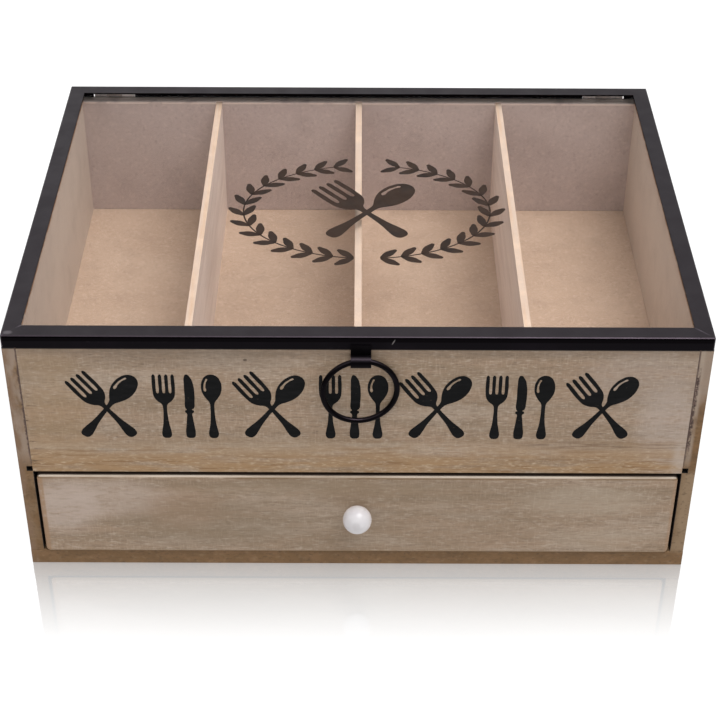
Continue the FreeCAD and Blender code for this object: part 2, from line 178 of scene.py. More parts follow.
floor_finish, tree, shader, coords = new_finish("white floor board", Roughness=0.6)
shader.inputs["Base Color"].default_value = linear(FLOOR_GREY)
shader.inputs["Emission Color"].default_value = linear("ffffff")
shader.inputs["Emission Strength"].default_value = FLOOR_GLOW
low, high = cad_box
half_base = (max(-low.x, high.x), -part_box("bottom_board")[0].y, 0.0)
spread_out = add_node(tree, "ShaderNodeVectorMath", {0: coords}, operation="ABSOLUTE")
beyond = add_node(tree, "ShaderNodeVectorMath", {0: spread_out.outputs[0], 1: half_base},
                  operation="SUBTRACT")
beyond = add_node(tree, "ShaderNodeVectorMath", {0: beyond.outputs[0], 1: (0, 0, 0)},
                  operation="MAXIMUM")
away = add_node(tree, "ShaderNodeVectorMath", {0: beyond.outputs[0]}, operation="LENGTH")
mirror = add_node(tree, "ShaderNodeMapRange",
                  {0: away.outputs["Value"], 1: 0.0, 2: MIRROR_REACH, 3: MIRROR_SHARE, 4: 0.0})
gloss = add_node(tree, "ShaderNodeBsdfGlossy", {"Roughness": MIRROR_ROUGHNESS})
mixed = add_node(tree, "ShaderNodeMixShader",
                 {0: mirror.outputs[0], 1: shader.outputs[0], 2: gloss.outputs[0]})
output = add_node(tree, "ShaderNodeOutputMaterial", {"Surface": mixed.outputs[0]})
output.is_active_output = True
floor_mesh = bpy.data.meshes.new("floor")
corners = [(x * FLOOR_HALF_WIDTH, y * FLOOR_HALF_WIDTH, -FLOOR_DROP)
           for x, y in ((-1, -1), (1, -1), (1, 1), (-1, 1))]
floor_mesh.from_pydata(corners, [], [(0, 1, 2, 3)])
floor_mesh.materials.append(floor_finish)
floor = bpy.data.objects.new("floor", floor_mesh)
floor.visible_diffuse = floor.visible_glossy = floor.visible_shadow = False
bpy.context.scene.collection.objects.link(floor)

# Side panels, back panel and bottom board. Seven-millimetre fibreboard, pinned together. Its
# outside is wiped with brown stain and then with white, and its inside is left raw.
STAIN_BROWN = "80603d"
STAIN_DARK = "54402c"
WIPED_WHITE = "b09d8e"
# Rim colours: brown stain on the top edges, darkened as painted shade of the gap under the lid,
# and near black on the front faces just under the lid's flange, as painted shadow.
RIM_STAIN_AND_SHADE = "4b3a2b"
RIM_PAINTED_SHADOW = "1d1613"
# Places in millimetres between which a mask rises: at the front faces, at the rim of the
# carcass, and towards its left and its right half.
FRONT_FACE = (-127.2, -127.7)
RIM = (141.1, 141.4)
LEFT_HALF = (1, -1)
RIGHT_HALF = (-1, 1)


def grained(tree, coords, size, low, high, strength=1.0, shift=(0, 0, 0)):
    """A mask of cloudy or drawn-out shapes, with their size in millimetres on each axis.

    strength is a number, or another mask that this one is kept inside.
    """
    mapping = add_node(tree, "ShaderNodeMapping", {
        "Vector": coords, "Location": shift, "Scale": [1000 / length for length in size]})
    noise = add_node(tree, "ShaderNodeTexNoise", {
        "Vector": mapping.outputs[0], "Scale": 1.0, "Detail": 3.0, "Roughness": 0.55})
    return add_node(tree, "ShaderNodeMapRange",
                    {0: noise.outputs[0], 1: low, 2: high, 3: 0.0, 4: strength},
                    interpolation_type="SMOOTHSTEP").outputs[0]


def band(tree, coords, axis, start, end, strength=1.0, both_sides=False):
    """A mask that rises from start to end, in millimetres along one axis."""
    split = add_node(tree, "ShaderNodeSeparateXYZ", {0: coords})
    along = split.outputs[axis]
    if both_sides:
        along = add_node(tree, "ShaderNodeMath", {0: along}, operation="ABSOLUTE").outputs[0]
    return add_node(tree, "ShaderNodeMapRange",
                    {0: along, 1: start / 1000, 2: end / 1000, 3: 0.0, 4: strength}).outputs[0]


def coats(tree, ground, layers):
    """Thin coats of colour over a ground, each through its own mask."""
    colour = linear(ground) if isinstance(ground, str) else ground
    for code, mask in layers:
        over = linear(code) if isinstance(code, str) else code
        colour = add_node(tree, "ShaderNodeMix", {0: mask, 6: colour, 7: over},
                          data_type="RGBA").outputs[2]
    return colour


def raised(tree, shader, pattern, strength, depth=0.1):
    """Lifts the surface where the pattern is strong; depth is in millimetres."""
    bump = add_node(tree, "ShaderNodeBump", {"Height": pattern, "Strength": strength,
                                             "Distance": depth / 1000})
    tree.links.new(bump.outputs[0], shader.inputs["Normal"])


def raw_fibreboard_colour(tree, coords, ground, pale, dark, fleck):
    """Pressed wood dust: a fine fleck of pale and dark fibres in faint clouds.

    The real fleck is a few tenths of a millimetre; it is drawn at 2 mm, so that it shows.
    """
    return coats(tree, ground, [
        (pale, grained(tree, coords, (45, 45, 45), 0.35, 0.70, 0.16)),
        (dark, grained(tree, coords, (16, 16, 16), 0.45, 0.75, 0.16, (4, 1, 7))),
        (pale, grained(tree, coords, (2.0, 2.0, 2.0), 0.50, 0.72, fleck)),
        (dark, grained(tree, coords, (1.7, 1.7, 1.7), 0.52, 0.74, fleck, (3, 9, 2))),
    ])


def stained_fibreboard_colour(tree, coords):
    """Brown stain with dark specks, under white that clings to the upper part.

    On the front edges the white ends lower at the left than at the right, where a streak of it
    runs on beside the seam. At the left its outer part is rubbed away.
    """
    front = band(tree, coords, 1, *FRONT_FACE, 0.65)
    on_left = band(tree, coords, 2, 64, 78, band(tree, coords, 0, *LEFT_HALF, front))
    on_right = band(tree, coords, 2, 98, 116, band(tree, coords, 0, *RIGHT_HALF, front))
    streak = band(tree, coords, 2, 66, 74, band(tree, coords, 0, 169.6, 168.2, front))
    streak = band(tree, coords, 0, *RIGHT_HALF, streak)
    rubbed = band(tree, coords, 0, -168.5, -171.0, band(tree, coords, 1, *FRONT_FACE))
    elsewhere = band(tree, coords, 1, FRONT_FACE[1], FRONT_FACE[0], 0.75)
    elsewhere = band(tree, coords, 2, 0, 100, elsewhere)
    beside_drawer = band(tree, coords, 2, 66, 62, band(tree, coords, 2, 8, 12))
    return coats(tree, STAIN_BROWN, [
        (STAIN_DARK, grained(tree, coords, (26, 26, 9), 0.42, 0.72, 0.30)),
        ("9a7553", grained(tree, coords, (13, 13, 6), 0.45, 0.70, 0.35, (2, 5, 1))),
        ("896d4f", grained(tree, coords, (7, 7, 14), 0.40, 0.65, beside_drawer, (6, 1, 9))),
        ("9c8265", grained(tree, coords, (9, 9, 20), 0.22, 0.55,
                           band(tree, coords, 0, 163, 168, beside_drawer), (2, 6, 3))),
        (STAIN_DARK, grained(tree, coords, (2.2, 2.2, 1.5), 0.50, 0.74, 0.50, (1, 2, 3))),
        (WIPED_WHITE, grained(tree, coords, (9, 9, 20), 0.28, 0.52, on_left)),
        (WIPED_WHITE, grained(tree, coords, (9, 9, 20), 0.28, 0.52, on_right)),
        ("b3a190", grained(tree, coords, (5, 5, 16), 0.20, 0.50, streak, (4, 4, 1))),
        ("8a6d55", grained(tree, coords, (4, 4, 10), 0.34, 0.56, rubbed, (8, 1, 3))),
        (WIPED_WHITE, grained(tree, coords, (60, 60, 16), 0.20, 0.62, elsewhere, (1, 7, 2))),
        ("a68c6c", grained(tree, coords, (4, 4, 2.6), 0.52, 0.74, 0.28, (8, 3, 4))),
    ])


def stained_fibreboard(name, axis, raw_look, stained_from, top_edge_code, darker_from):
    """Fibreboard that is raw inside and stained outside.

    raw_look is the ground, the pale and dark fibres and the fleck of the raw side. stained_from
    and darker_from are the places on the axis, in millimetres, where the stain, and the darker
    brown on the top edge, which is stain with painted shade of the gap under the lid, begin and
    where they are full. The front faces get painted shadow along the rim under the lid's flange,
    and the side panels get painted shade at the groove ends and inside the drawer opening. The
    fibres that roughen it are drawn at 0.9 mm, coarser than they are, so that they show.
    """
    material, tree, shader, coords = new_finish(name, Roughness=0.72)
    outside = band(tree, coords, axis, *stained_from, both_sides=True)
    top_edge = band(tree, coords, 2, 140.6, 141.0, 0.8)
    raw = coats(tree, raw_fibreboard_colour(tree, coords, *raw_look), [
        (top_edge_code, grained(tree, coords, (9, 9, 3), 0.30, 0.50, top_edge))])
    darker = band(tree, coords, axis, *darker_from, both_sides=True)
    front = band(tree, coords, 1, *FRONT_FACE)
    # The rim: stain with painted shade on the top edge, and painted shadow on the front faces.
    stained = coats(tree, stained_fibreboard_colour(tree, coords), [
        (RIM_STAIN_AND_SHADE, band(tree, coords, 2, *RIM, darker)),
        (RIM_PAINTED_SHADOW, band(tree, coords, 2, *RIM, front))])
    if axis == 0:
        rear = band(tree, coords, 1, 127.2, 127.7, band(tree, coords, 2, 9.4, 9.6))
        rear_seam = band(tree, coords, 0, 166.0, 165.7, rear, True)
        seam = band(tree, coords, 0, 166.6, 166.0, band(tree, coords, 2, 66, 76, front), True)
        middle_part = band(tree, coords, 2, 72, 84, band(tree, coords, 2, 133, 127, front))
        on_left = band(tree, coords, 0, *LEFT_HALF, middle_part)
        on_left = band(tree, coords, 0, -167.0, -166.0, on_left)
        on_right = band(tree, coords, 0, *RIGHT_HALF, middle_part)
        on_right = band(tree, coords, 0, 168.0, 166.9, on_right)
        # Painted shade: the ends of the middle floor's grooves are painted near black.
        shaded = band(tree, coords, 2, 63.85, 63.95, band(tree, coords, 2, 67.15, 67.05))
        stained = coats(tree, stained, [
            ("685149", grained(tree, coords, (2.2, 2.2, 5), 0.42, 0.56, on_right, (5, 5, 5))),
            ("4a3830", grained(tree, coords, (1.1, 1.1, 1.4), 0.46, 0.58, on_right, (9, 4, 6))),
            ("3f2f27", grained(tree, coords, (1.3, 1.3, 1.6), 0.44, 0.56, on_left, (5, 8, 5))),
            ("5b463e", grained(tree, coords, (2.0, 2.0, 5), 0.25, 0.55, seam, (9, 2, 6))),
            ("46362a", rear_seam),
            ("0b0806", band(tree, coords, 0, 168.7, 168.6, shaded, True))])
    colour = coats(tree, raw, [(stained, outside)])
    if axis == 0:
        # Painted shade: the side panels' inner faces at the drawer opening are painted near black.
        opening = band(tree, coords, 1, -114, -118, band(tree, coords, 2, 63.9, 63.6))
        opening_shade = band(tree, coords, 0, stained_from[1], stained_from[0], opening, True)
        colour = coats(tree, colour, [("24180f", opening_shade)])
    tree.links.new(colour, shader.inputs["Base Color"])
    raised(tree, shader, grained(tree, coords, (0.9, 0.9, 0.9), 0.3, 0.7), 0.25)
    return material


def finish_node(name, material):
    """Gives a CAD node its finish."""
    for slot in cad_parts[name].material_slots:
        slot.material = material


inner_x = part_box("right_side_panel")[0].x * 1000
inner_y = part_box("back_panel")[0].y * 1000
side_finish = stained_fibreboard(
    "stained fibreboard, raw inside the side panels", 0, ("c9bdb2", "e4d9cb", "918175", 0.20),
    (inner_x + 0.05, inner_x + 0.2), "8f6038", (inner_x, inner_x + 0.2))
finish_node("left_side_panel", side_finish)
finish_node("right_side_panel", side_finish)
# The back panel's raw top edge is painted pale, as painted light where the back rail shades it.
finish_node("back_panel", stained_fibreboard(
    "stained fibreboard, raw inside the back panel", 1, ("baadaa", "dacdc6", "7f716c", 0.30),
    (inner_y + 5.6, inner_y + 6.6), "ddd0c8", (inner_y + 6.0, inner_y + 6.8)))
bottom_finish, tree, shader, coords = new_finish("stained fibreboard", Roughness=0.7)
tree.links.new(stained_fibreboard_colour(tree, coords), shader.inputs["Base Color"])
raised(tree, shader, grained(tree, coords, (0.9, 0.9, 0.9), 0.3, 0.7), 0.25)
finish_node("bottom_board", bottom_finish)

# Front board. Plain-sawn paulownia ply, seven millimetres thick, its grain along the chest. It
# is stained grey-brown, and white is rubbed over it and stays in the fine lines of the grain.
WOOD_GROUND = "aa9078"


def spot(tree, coords, place, turn, half_sizes, strength):
    """A mask like one soft blot, which may be long and thin; sizes are in millimetres."""
    inside = add_node(tree, "ShaderNodeMapping", {
        "Vector": coords, "Location": [length / 1000 for length in place],
        "Rotation": (0, math.radians(turn), 0),
        "Scale": [length / 1000 for length in half_sizes]}, vector_type="TEXTURE")
    fall = add_node(tree, "ShaderNodeTexGradient", {0: inside.outputs[0]},
                    gradient_type="SPHERICAL")
    return add_node(tree, "ShaderNodeMapRange", {0: fall.outputs[1], 1: 0.0, 2: 0.6, 3: 0.0,
                                                 4: strength},
                    interpolation_type="SMOOTHSTEP").outputs[0]


def whitewashed_wood(name, shift, patches, wear_and_shade_coats=None, raw_behind=-120.0, white_lines=0.52):
    """Stained wood with white rubbed into its grain, on a board that is raw behind.

    patches are soft clouds (x, z, half width, half height, colour, strength), in millimetres;
    some are painted shade. The coats of one board's own wear and painted shade come as a
    function, raw_behind is where its bare back begins, and white_lines is how strongly the white
    shows in the grain. The pores are about 0.2 mm wide; their lines are drawn at 0.8 to 1 mm, so
    that they show.
    """
    material, tree, shader, coords = new_finish(name, Roughness=0.68)
    layers = [
        ("937e66", grained(tree, coords, (150, 150, 8), 0.40, 0.64, 0.60, shift)),
        ("bb9c84", grained(tree, coords, (75, 75, 15), 0.50, 0.70, 0.40, shift)),
        ("c1af9e", grained(tree, coords, (55, 55, 14), 0.46, 0.70, 0.45,
                           (shift[2], shift[0], shift[1]))),
        ("7d6852", grained(tree, coords, (9, 9, 1.0), 0.46, 0.66, 0.38, shift)),
        ("d9c8b7", grained(tree, coords, (4.0, 4.0, 0.9), 0.50, 0.74, white_lines, shift)),
        ("645142", grained(tree, coords, (3.0, 3.0, 0.8), 0.55, 0.76, 0.48, shift)),
        ("cfbaa5", grained(tree, coords, (0.9, 0.9, 5), 0.48, 0.75, 0.32, shift)),
    ]
    for x, z, half_width, half_height, code, strength in patches:
        cloud = spot(tree, coords, (x, -128, z), 0, (half_width, 50, half_height), strength)
        layers.append((code, grained(tree, coords, (6, 6, 1.6), 0.05, 0.60, cloud, shift)))
    layers += wear_and_shade_coats(tree, coords) if wear_and_shade_coats else []
    colour = coats(tree, WOOD_GROUND, layers)
    raw = coats(tree, "c6ac92", [
        ("a98a6c", grained(tree, coords, (60, 60, 3), 0.40, 0.66, 0.6, shift)),
        ("dcc2a2", grained(tree, coords, (30, 30, 1.0), 0.50, 0.70, 0.5, shift))])
    behind = band(tree, coords, 1, raw_behind - 1.2, raw_behind - 1.0)
    tree.links.new(coats(tree, colour, [(raw, behind)]), shader.inputs["Base Color"])
    raised(tree, shader, grained(tree, coords, (9, 9, 1.0), 0.30, 0.70, 1.0, shift), 0.30)
    return material


def front_board_marks_and_shade(tree, coords):
    """Warmer wood low down with a dark streak and a pale corner, and ticks.

    The bottom edge over the drawer gap is painted shade, the top edge brown stain with painted
    shade, and the front face just under the lid painted shadow.
    """
    lower = band(tree, coords, 2, 88, 70)
    streak = band(tree, coords, 2, 78.5, 80.5, band(tree, coords, 2, 85, 83, 0.5))
    streak = band(tree, coords, 0, 60, 100, streak)
    left_end = band(tree, coords, 0, -158, -165, band(tree, coords, 2, 130, 100))
    corner = spot(tree, coords, (164.5, -128, 72), 0, (7, 50, 20), 0.6)
    return [
        ("ad8b66", grained(tree, coords, (30, 30, 5), 0.25, 0.60, lower, (7, 1, 2))),
        ("93714d", grained(tree, coords, (24, 24, 1.4), 0.50, 0.70, lower, (4, 3, 2))),
        ("d9c3a8", grained(tree, coords, (3.4, 3.4, 0.9), 0.48, 0.90, lower, (2, 8, 5))),
        ("6d5036", grained(tree, coords, (16, 16, 0.9), 0.46, 0.62, streak, (8, 2, 3))),
        ("c6b5a7", grained(tree, coords, (5, 5, 2.4), 0.20, 0.60, corner, (3, 5, 1))),
        ("5f4a38", grained(tree, coords, (7, 7, 1.1), 0.55, 0.68, left_end, (6, 2, 8))),
        # Painted shade along the bottom edge, over the drawer gap.
        ("120d0a", band(tree, coords, 2, 63.75, 63.55)),
        # Brown stain with painted shade on the top edge, and painted shadow just under the lid.
        (RIM_STAIN_AND_SHADE, band(tree, coords, 2, *RIM)),
        (RIM_PAINTED_SHADOW, band(tree, coords, 2, *RIM, band(tree, coords, 1, *FRONT_FACE)))]


finish_node("front_board", whitewashed_wood("whitewashed paulownia, front board", (3, 0, 5), [
    (-150, 96, 26, 44, "ae8e68", 0.40),
    (-152, 132, 22, 14, "a48a6c", 0.40),
    (-20, 79.5, 300, 5.5, "d6c8b8", 0.26),
    (120, 81.0, 60, 3.6, "86694b", 0.30),
    (156, 92, 22, 40, "c9b8ad", 0.55),
    (140, 124, 40, 24, "b5a498", 0.45),
    # Painted shade: the next two patches darken the top of the board just under the lid.
    (0, 143, 400, 9, "776757", 0.50),
    (-80, 140, 90, 14, "7f6e5e", 0.40),
    (-54.8, 134.9, 1.4, 1.0, "4a382c", 0.90),
    (104.2, 74.4, 1.6, 1.0, "594638", 0.80),
], front_board_marks_and_shade))

# Frieze on the front board. Matt black ink laid on through a cut stencil: seven groups of small
# knives, forks and spoons, in turn crossed and side by side. The ink stands 0.06 mm proud.
INK_THICKNESS = 0.06
FRIEZE_CENTRE = (-1.5, 106.0)
FRIEZE_PITCH = 41.0
FRIEZE_GROUPS = 7
CROSSED_TURN = 36
CROSSED_SCALE = 1.16
# The right halves of the spoon and the fork, the spoon's glint and the whole knife. Each piece
# of cutlery is 40 mm long.
HANDLE = [(1.6, -19.6), (2.4, -18), (2.2, -15), (1.5, -11), (1.1, -6), (1.0, -1)]
SPOON = [(0, -20)] + HANDLE + [
    (1.3, 2.6), (2.9, 5.2), (4.6, 8.8), (5.1, 12.4), (4.5, 16.0), (2.8, 18.9), (0, 20)]
SPOON_GLINT = [(-3.2, 9.4), (-3.8, 12.3), (-3.2, 15.4), (-1.9, 17.4), (-2.5, 15.2),
               (-2.9, 12.3), (-2.6, 9.9)]
FORK = [(0, -20)] + HANDLE + [
    (1.4, 1.4), (3.4, 3.4), (5.0, 6.0), (5.5, 9.4), (5.5, 17.5), (5.3, 19.4), (4.65, 20),
    (4.0, 19.4), (3.8, 17.5), (3.8, 9.6), (3.6, 8.7), (3.1, 8.3), (2.6, 8.7), (2.4, 9.6),
    (2.4, 17.5), (2.2, 19.4), (1.55, 20), (0.9, 19.4), (0.7, 17.5), (0.7, 9.6), (0.5, 8.7),
    (0, 8.3)]
KNIFE = [(0, -20), (1.8, -19.5), (2.4, -17.4), (2.0, -12), (1.5, -7), (1.4, -4.2), (2.1, -3.6),
         (2.1, -2.5), (1.3, -2.0), (2.3, -1.0), (2.8, 3), (3.0, 9), (2.6, 14), (1.4, 18),
         (-0.7, 20), (-1.6, 18.6), (-1.9, 14), (-1.9, 5), (-1.9, -1.0), (-1.3, -2.0),
         (-2.1, -2.5), (-2.1, -3.6), (-1.4, -4.2), (-1.5, -7), (-2.0, -12), (-2.4, -17.4),
         (-1.8, -19.5)]


def mirrored(half):
    """A closed outline from its right half, which starts and ends on the middle line."""
    return half + [(-x, y) for x, y in reversed(half[1:-1])]


MOTIFS = {"spoon": [mirrored(SPOON), SPOON_GLINT], "fork": [mirrored(FORK)], "knife": [KNIFE]}
THICKER_EACH = 0.25


def inked(outlines, thickness):
    """A thin closed plate in the plane Z = 0 from smooth outlines in millimetres."""
    curve = bpy.data.curves.new("outline", "CURVE")
    curve.dimensions = "2D"
    curve.fill_mode = "BOTH"
    curve.resolution_u = 4
    curve.extrude = thickness / 2000
    for outline in outlines:
        spline = curve.splines.new("BEZIER")
        spline.bezier_points.add(len(outline) - 1)
        for point, (x, y) in zip(spline.bezier_points, outline):
            point.co = (x / 1000, y / 1000, 0)
            point.handle_left_type = point.handle_right_type = "AUTO"
        spline.use_cyclic_u = True
    holder = bpy.data.objects.new("outline", curve)
    mesh = bpy.data.meshes.new_from_object(holder)
    mesh.transform(Matrix.Translation((0, 0, thickness / 2000)))
    bpy.data.objects.remove(holder)
    return mesh


def stencil(name, shapes, thickness):
    """One mesh object from several motifs, each with its place, turn and scale.

    Each is thicker than the one before, so that where two cross no faces lie in one plane.
    """
    sheet = bmesh.new()
    for rank, (motif, place, turn, scale) in enumerate(shapes):
        mesh = inked(MOTIFS[motif], thickness * (1 + THICKER_EACH * rank) / scale)
        mesh.transform(Matrix.Translation((place[0] / 1000, place[1] / 1000, 0))
                       @ Matrix.Rotation(math.radians(turn), 4, "Z") @ Matrix.Scale(scale, 4))
        sheet.from_mesh(mesh)
    bmesh.ops.remove_doubles(sheet, verts=sheet.verts, dist=1e-6)
    bmesh.ops.recalc_face_normals(sheet, faces=sheet.faces)
    mesh = bpy.data.meshes.new(name)
    sheet.to_mesh(mesh)
    sheet.free()
    plate = bpy.data.objects.new(name, mesh)
    bpy.context.scene.collection.objects.link(plate)
    return plate


def new_tree(name, inputs):
    """A tree that grows a piece from named inputs, with their sockets and identifiers."""
    tree = bpy.data.node_groups.new(name, "GeometryNodeTree")
    tree.interface.new_socket("Geometry", in_out="OUTPUT", socket_type="NodeSocketGeometry")
    names = {}
    for label, kind in inputs.items():
        socket = tree.interface.new_socket(label, in_out="INPUT", socket_type="NodeSocket" + kind)
        names[label] = socket.identifier
    return tree, add_node(tree, "NodeGroupInput").outputs, names


def finish_tree(tree, geometry, material):
    """Ends a tree with real geometry and its finish."""
    real = add_node(tree, "GeometryNodeRealizeInstances", {0: geometry})
    done = add_node(tree, "GeometryNodeSetMaterial", {0: real.outputs[0], "Material": material})
    add_node(tree, "NodeGroupOutput", {0: done.outputs[0]})


def grown(name, tree, names, values):
    """A plain mesh from a tree, made with these values for its named inputs."""
    holder = bpy.data.objects.new(name, bpy.data.meshes.new(name))
    bpy.context.scene.collection.objects.link(holder)
    modifier = holder.modifiers.new(name, "NODES")
    modifier.node_group = tree
    for label, value in values.items():
        modifier[names[label]] = value
    bpy.context.view_layer.update()
    evaluated = holder.evaluated_get(bpy.context.evaluated_depsgraph_get())
    mesh = bpy.data.meshes.new_from_object(evaluated)
    holder.modifiers.remove(modifier)
    bpy.data.objects.remove(holder)
    mesh.name = name
    return mesh


def uneven_gloss(tree, shader, pattern, least):
    """A roughness that is least where the pattern is 0, and grows with it."""
    rough = add_node(tree, "ShaderNodeMath", {0: pattern, 1: least}, operation="ADD")
    tree.links.new(rough.outputs[0], shader.inputs["Roughness"])


def printing_ink(name, code, pale, roughness):
    """Thin ink over a grain: nearly even, with pin-holes where it missed the pores."""
    material, tree, shader, coords = new_finish(name)
    tree.links.new(coats(tree, code, [
        ("1a191b", grained(tree, coords, (14, 14, 3), 0.45, 0.70, 0.5)),
        (pale, grained(tree, coords, (2.2, 2.2, 0.8), 0.70, 0.76, 0.5))]),
        shader.inputs["Base Color"])
    uneven_gloss(tree, shader, grained(tree, coords, (8, 8, 2), 0.3, 0.7, 0.15), roughness)
    shader.inputs["Specular IOR Level"].default_value = 0.15
    return material


def new_piece(name, mesh, body):
    """A piece with its place in its mesh, riding on a body."""
    piece = bpy.data.objects.new(name, mesh)
    bpy.context.scene.collection.objects.link(piece)
    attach(piece, body)


ink = printing_ink("matt black stencil ink", "0b0b0c", "6d5d4d", 0.6)
tree, given, names = new_tree("stencilled frieze", {
    "Crossed pair": "Object", "Row of three": "Object", "Groups": "Int", "Pitch": "Float",
    "Ink": "Material"})
offset = add_node(tree, "ShaderNodeCombineXYZ", {0: given["Pitch"]})
line = add_node(tree, "GeometryNodeMeshLine", {"Count": given["Groups"],
                                               "Offset": offset.outputs[0]})
index = add_node(tree, "GeometryNodeInputIndex")
odd = add_node(tree, "ShaderNodeMath", {0: index.outputs[0], 1: 2.0}, operation="MODULO")
even = add_node(tree, "ShaderNodeMath", {0: 1.0, 1: odd.outputs[0]}, operation="SUBTRACT")
groups = add_node(tree, "GeometryNodeJoinGeometry")
for label, chosen in (("Crossed pair", even), ("Row of three", odd)):
    motif = add_node(tree, "GeometryNodeObjectInfo", {"Object": given[label]})
    laid = add_node(tree, "GeometryNodeInstanceOnPoints", {
        "Points": line.outputs[0], "Selection": chosen.outputs[0],
        "Instance": motif.outputs["Geometry"]})
    tree.links.new(laid.outputs[0], groups.inputs[0])
finish_tree(tree, groups.outputs[0], given["Ink"])

crossed_pair = stencil("crossed pair", [
    ("fork", (-1, 0), CROSSED_TURN, CROSSED_SCALE),
    ("spoon", (1, 0), -CROSSED_TURN, CROSSED_SCALE)], INK_THICKNESS)
row_of_three = stencil("row of three", [
    ("fork", (-12, 0), 0, 1.0), ("knife", (0, 0), 0, 1.0), ("spoon", (11.5, 0), 0, 1.0)],
    INK_THICKNESS)
frieze_mesh = grown("stencilled_frieze", tree, names, {
    "Crossed pair": crossed_pair, "Row of three": row_of_three, "Groups": FRIEZE_GROUPS,
    "Pitch": FRIEZE_PITCH / 1000, "Ink": ink})
first_x = FRIEZE_CENTRE[0] - (FRIEZE_GROUPS - 1) / 2 * FRIEZE_PITCH
frieze_mesh.transform(
    Matrix.Translation((first_x / 1000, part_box("front_board")[0].y, FRIEZE_CENTRE[1] / 1000))
    @ Matrix.Rotation(math.radians(90), 4, "X"))
new_piece("stencilled_frieze", frieze_mesh, "carcass")
for plate in (crossed_pair, row_of_three):
    bpy.data.objects.remove(plate)

# Middle floor and dividers. The floor is three-millimetre raw fibreboard in saw-cut grooves. The
# dividers are raw birch ply, housed at both ends, with their pale sawn edges up.
floor_board, tree, shader, coords = new_finish("raw fibreboard", Roughness=0.75)
tree.links.new(raw_fibreboard_colour(tree, coords, "c0aa96", "ead9c7", "867162", 0.24),
               shader.inputs["Base Color"])
raised(tree, shader, grained(tree, coords, (1.0, 1.0, 1.0), 0.3, 0.7), 0.25)
finish_node("middle_floor", floor_board)
finish_node("drawer_bottom", floor_board)


def raw_plywood(name, edge_level):
    """Raw birch ply: a silky pale face, and an upper edge of thin plies laid side by side.

    Its fine pores are drawn at 0.8 to 0.9 mm, coarser than they are, so that they show.
    """
    material, tree, shader, coords = new_finish(name, Roughness=0.62)
    face = coats(tree, "e8dcd4", [
        ("c8b9b0", grained(tree, coords, (90, 90, 9), 0.40, 0.68, 0.45)),
        ("f8f0e8", grained(tree, coords, (40, 40, 1.4), 0.48, 0.70, 0.45)),
        ("b09d8e", grained(tree, coords, (12, 12, 0.8), 0.62, 0.75, 0.35)),
    ])
    edge = coats(tree, "d1bfaf", [
        ("d2ad86", grained(tree, coords, (2.2, 55, 55), 0.45, 0.70, 0.45)),
        ("e8d2ba", grained(tree, coords, (14, 14, 14), 0.45, 0.70, 0.50)),
        ("b98d64", grained(tree, coords, (5, 9, 5), 0.68, 0.78, 0.55, (2, 7, 1))),
    ])
    upper = band(tree, coords, 2, edge_level - 0.25, edge_level - 0.1)
    tree.links.new(coats(tree, face, [(edge, upper)]), shader.inputs["Base Color"])
    raised(tree, shader, grained(tree, coords, (30, 30, 0.9), 0.3, 0.7), 0.3)
    return material


divider_finish = raw_plywood("raw birch plywood, dividers",
                             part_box("left_divider")[1].z * 1000)
for name in ("left_divider", "centre_divider", "right_divider"):
    finish_node(name, divider_finish)

# Panel pins. Wire nails of bright-plated steel with small flat heads. They are driven through
# the side panels, the bottom board and the drawer's back until their heads are flush.


def plated_steel(name, code, roughness, size):
    """Zinc plating: a bright skin, with faint clouds and the marks of the rolled strip."""
    material, tree, shader, coords = new_finish(name, Metallic=1.0)
    tree.links.new(coats(tree, code, [
        ("8f9295", grained(tree, coords, size, 0.45, 0.70, 0.5)),
        ("6f6a63", grained(tree, coords, (3, 3, 3), 0.64, 0.78, 0.5, (6, 2, 4)))]),
        shader.inputs["Base Color"])
    uneven_gloss(tree, shader, grained(tree, coords, size, 0.3, 0.7, 0.2, (1, 3, 5)), roughness)
    return material


pin_finish = plated_steel("bright-plated nail steel", "b9bcbe", 0.28, (1.5, 1.5, 1.5))
for name in ("side_panel_pins", "bottom_board_pins", "drawer_pins"):
    finish_node(name, pin_finish)

# Drawer front. The same stained paulownia, nine millimetres thick. Its face edges are rounded
# with a plane and sanded after the wash, so that the bare wood shows warm along them.


def sanded_edges_and_gap_shade(tree, coords):
    """Bare wood where the rounded edges were rubbed, and painted shade in the gap.

    Just behind the face the sides and top are painted near black, as painted shade of the gap
    around the drawer; further back they are brown stain.
    """
    left_end = band(tree, coords, 0, -160.7, -161.6, 0.85)
    right_end = band(tree, coords, 0, 161.6, 162.6, 0.55)
    under_arris = band(tree, coords, 2, 59.9, 60.6, 0.85)
    arris = band(tree, coords, 2, 60.95, 61.35, 0.92)
    lower = band(tree, coords, 2, 11.6, 10.8, 0.55)
    return [
        ("a98565", grained(tree, coords, (5, 5, 4), 0.15, 0.50, left_end)),
        ("a98565", grained(tree, coords, (5, 5, 4), 0.15, 0.50, right_end)),
        ("7f6547", grained(tree, coords, (35, 20, 6), 0.35, 0.60, under_arris, (3, 1, 1))),
        ("d2c4b4", grained(tree, coords, (50, 20, 8), 0.15, 0.60, arris, (1, 6, 2))),
        ("a68762", grained(tree, coords, (14, 14, 5), 0.25, 0.55, lower)),
        # Painted shade of the gap around the drawer, just behind the face.
        ("32241a", band(tree, coords, 1, -128.8, -128.2)),
        ("84694d", grained(tree, coords, (30, 30, 4), 0.20, 0.60,
                           band(tree, coords, 1, -126.8, -125.2), (5, 2, 7)))]


